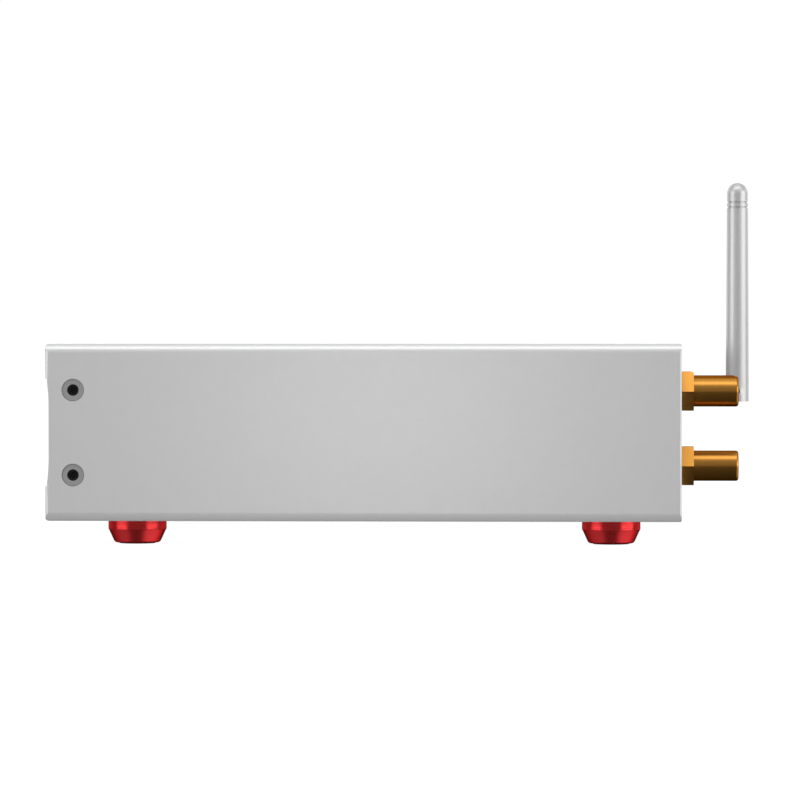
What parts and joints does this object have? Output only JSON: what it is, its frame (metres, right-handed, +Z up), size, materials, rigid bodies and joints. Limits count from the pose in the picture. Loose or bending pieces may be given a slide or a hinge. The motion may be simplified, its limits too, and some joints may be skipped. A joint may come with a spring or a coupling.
{
  "type": "digital-to-analog converter",
  "caption": "Desktop digital-to-analog converter in a silver aluminium case on red feet, with gold phono sockets and a folding antenna.",
  "frame": {"origin": "on the table, under the middle of the part's own box with its antenna upright", "axes": "+Z up, -Y towards the front panel, +Y towards the rear sockets, +X to the right seen from the front"},
  "size_m": [0.21, 0.1936, 0.1024],
  "materials": {
    "case_aluminium": "fine bead blast, clear anodised",
    "panel_aluminium": "fine bead blast, clear anodised",
    "button_aluminium": "spun face, clear anodised",
    "red_anodised": "turned, red anodised, glossy",
    "rubber_black": "matt",
    "screw_steel": "dark zinc",
    "gold": "gold plated, satin",
    "steel": "nickel plated",
    "window": "smoked",
    "display_glass": "display face",
    "board_green": "solder resist",
    "part_black": "moulded",
    "white_plastic": "moulded",
    "red_plastic": "moulded",
    "black_plastic": "moulded",
    "light_pipe": "clear",
    "antenna_plastic": "painted silver",
    "capacitor": "sleeve",
    "winding_tape": "polyester tape",
    "heat_sink_black": "black anodised",
    "lead_brown": "insulation",
    "lead_white": "insulation",
    "ceramic_white": "fuse tube"
  },
  "bodies": {
    "case": {"sleeve": "case_aluminium", "front_panel": "panel_aluminium", "rear_panel": "panel_aluminium", "front_panel_screws": "screw_steel", "rear_panel_screws": "screw_steel", "foot_front_left": "red_anodised", "foot_front_right": "red_anodised", "foot_rear_left": "red_anodised", "foot_rear_right": "red_anodised", "foot_pads": "rubber_black", "foot_screws": "screw_steel", "display_window": "window", "display_module": "display_glass", "display_board": "board_green", "display_board_screws": "screw_steel", "push_switches": "part_black", "status_light_pipe": "light_pipe", "infrared_receiver": "part_black", "output_left_socket": "gold", "output_right_socket": "gold", "coaxial_socket": "gold", "phono_insulators": "white_plastic", "phono_contacts": "gold", "washer_white": "white_plastic", "washer_red": "red_plastic", "washer_black": "black_plastic", "phono_lock_nuts": "gold", "antenna_socket": "gold", "antenna_coupling_nut": "gold", "usb_shell": "steel", "usb_tongue": "white_plastic", "optical_housing": "black_plastic", "mains_inlet": "black_plastic", "mains_pins": "steel", "switch_housing": "black_plastic", "main_board": "board_green", "board_pillars": "gold", "board_screws": "screw_steel", "transformer": "winding_tape", "transformer_clamp": "steel", "transformer_pads": "rubber_black", "reservoir_capacitors": "capacitor", "heat_sink": "heat_sink_black", "board_components": "part_black", "mains_leads": "lead_brown", "signal_leads": "lead_white", "display_ribbon": "lead_white"},
    "power_button": {"power_button": "button_aluminium"},
    "source_button": {"source_button": "button_aluminium"},
    "filter_button": {"filter_button": "button_aluminium"},
    "menu_button": {"menu_button": "button_aluminium"},
    "rocker": {"switch_rocker": "black_plastic"},
    "drawer": {"fuse_drawer": "black_plastic", "fuse": "ceramic_white"},
    "flap": {"optical_flap": "black_plastic"},
    "elbow": {"antenna_elbow": "gold"},
    "antenna": {"antenna_sheath": "antenna_plastic", "antenna_cap": "antenna_plastic", "antenna_hinge_pin": "steel", "antenna_radiator": "gold"}
  },
  "joints": [
    {"name": "power_button_press", "type": "slide", "parent": "case", "child": "power_button", "axis": [0, 1, 0], "range_m": [0, 0.0005], "stiffness_N_per_m": 1500},
    {"name": "source_button_press", "type": "slide", "parent": "case", "child": "source_button", "axis": [0, 1, 0], "range_m": [0, 0.0005], "stiffness_N_per_m": 1500},
    {"name": "filter_button_press", "type": "slide", "parent": "case", "child": "filter_button", "axis": [0, 1, 0], "range_m": [0, 0.0005], "stiffness_N_per_m": 1500},
    {"name": "menu_button_press", "type": "slide", "parent": "case", "child": "menu_button", "axis": [0, 1, 0], "range_m": [0, 0.0005], "stiffness_N_per_m": 1500},
    {"name": "rocker_tilt", "type": "hinge", "parent": "case", "child": "rocker", "pos_m": [-0.038, 0.06863, 0.0307], "axis": [-1, 0, 0], "range_deg": [0, 18]},
    {"name": "fuse_drawer_slide", "type": "slide", "parent": "case", "child": "drawer", "axis": [0, 1, 0], "range_m": [0, 0.02]},
    {"name": "optical_flap_swing", "type": "hinge", "parent": "case", "child": "flap", "pos_m": [0.046, 0.07182, 0.02505], "axis": [-1, 0, 0], "range_deg": [0, 82], "stiffness_Nm_per_rad": 0.0002},
    {"name": "antenna_swivel", "type": "hinge", "parent": "case", "child": "elbow", "pos_m": [-0.022, 0.08833, 0.0407], "axis": [0, 1, 0], "range_deg": [-90, 90]},
    {"name": "antenna_tilt", "type": "hinge", "parent": "elbow", "child": "antenna", "pos_m": [-0.022, 0.09333, 0.0407], "axis": [-1, 0, 0], "range_deg": [0, 90]}
  ]
}
